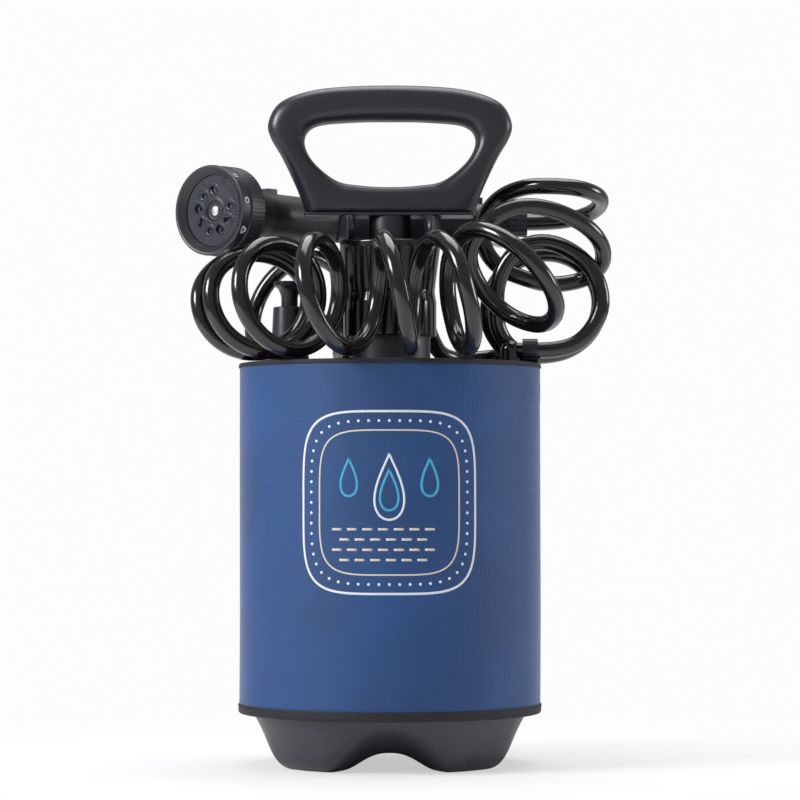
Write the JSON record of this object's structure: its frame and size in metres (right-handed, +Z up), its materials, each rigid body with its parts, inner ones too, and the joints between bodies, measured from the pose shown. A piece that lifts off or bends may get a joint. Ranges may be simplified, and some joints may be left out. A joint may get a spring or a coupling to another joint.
{
  "type": "portable pressure shower",
  "caption": "Pressure shower: a water tank on moulded feet in a fabric sleeve, with a hand pump under a loop handle, a relief valve, a coil hose and a spray gun with a dial.",
  "frame": {"origin": "on the tank's axis at floor level, between its feet", "axes": "+Z up along the pump rod; +X to the viewer's right, from the relief valve to the hose outlet; +Y away from the viewer"},
  "size_m": [0.29, 0.278, 0.452],
  "materials": {
    "tank_black": "satin",
    "sleeve_blue": "woven",
    "binding_black": "woven tape",
    "gloss_black": "polished",
    "handle_black": "satin",
    "gun_black": "satin",
    "plate_grey": "satin",
    "hose_black": "smooth",
    "steel": "bright",
    "seal_rubber": "matt",
    "inner_white": "moulded"
  },
  "bodies": {
    "tank_unit": {"tank": "tank_black", "sleeve_panel": "sleeve_blue", "sleeve_lower_hem": "binding_black", "sleeve_upper_hem": "binding_black", "valve_body": "handle_black", "valve_washer": "seal_rubber", "valve_lock_nut": "inner_white", "valve_spring": "steel", "outlet_elbow": "gloss_black", "outlet_washer": "seal_rubber", "outlet_lock_nut": "inner_white", "outlet_nut": "handle_black", "dip_tube": "inner_white", "dip_filter": "inner_white", "neck_gasket": "seal_rubber", "hose_lead": "hose_black", "hose_tail": "hose_black", "hose_coil": "hose_black"},
    "knob": {"valve_knob": "handle_black", "valve_pad": "seal_rubber"},
    "pump": {"pump_head": "gloss_black", "pump_cylinder": "inner_white", "rod_bush": "inner_white", "foot_flap": "seal_rubber"},
    "piston": {"piston_cap": "inner_white", "piston_head": "inner_white", "piston_seal": "seal_rubber"},
    "handle": {"carry_handle": "handle_black", "pump_rod": "inner_white", "rod_pin": "steel"},
    "gun": {"gun_body": "gun_black", "face_screw": "steel", "lever_pin": "steel", "gun_nut": "gun_black"},
    "dial": {"gun_dial": "gun_black", "nozzle_plate": "plate_grey"},
    "lever": {"gun_lever": "gun_black"},
    "stem": {"gun_stem": "inner_white", "stem_spring": "steel"},
    "bail": {"lock_bail": "steel"}
  },
  "joints": [
    {"name": "relief_pull", "type": "slide", "parent": "tank_unit", "child": "knob", "axis": [0, 0, 1], "range_m": [0, 0.004], "stiffness_N_per_m": 400, "springref_m": -0.003, "deforming": ["valve_spring"]},
    {"name": "pump_lift", "type": "slide", "parent": "tank_unit", "child": "pump", "axis": [0, 0, 1], "range_m": [0, 0.21]},
    {"name": "pump_stroke", "type": "slide", "parent": "pump", "child": "piston", "axis": [0, 0, 1], "range_m": [0, 0.15]},
    {"name": "handle_twist", "type": "hinge", "parent": "piston", "child": "handle", "pos_m": [0, 0, 0.356], "axis": [0, 0, 1], "range_deg": [0, 30]},
    {"name": "gun_lift", "type": "slide", "parent": "tank_unit", "child": "gun", "axis": [0, 0.7071, 0.7071], "range_m": [0, 0.05]},
    {"name": "dial_turn", "type": "hinge", "parent": "gun", "child": "dial", "pos_m": [-0.119, -0.032, 0.366], "axis": [0.6115, 0.7912, 0], "continuous": true},
    {"name": "lever_squeeze", "type": "hinge", "parent": "gun", "child": "lever", "pos_m": [-0.055, 0.0855, 0.366], "axis": [0, 0, -1], "range_deg": [0, 10], "stiffness_Nm_per_rad": 1, "springref_deg": -5.73},
    {"name": "stem_push", "type": "slide", "parent": "gun", "child": "stem", "axis": [-0.6115, -0.7912, 0], "range_m": [0, 0.0026]},
    {"name": "bail_swing", "type": "hinge", "parent": "gun", "child": "bail", "pos_m": [0.068, 0.06374, 0.366], "axis": [0, 0, 1], "range_deg": [-8, 52]}
  ],
  "couplings": [
    {"joint": "stem_push", "follows": "lever_squeeze", "m_per_rad": 0.0139}
  ]
}
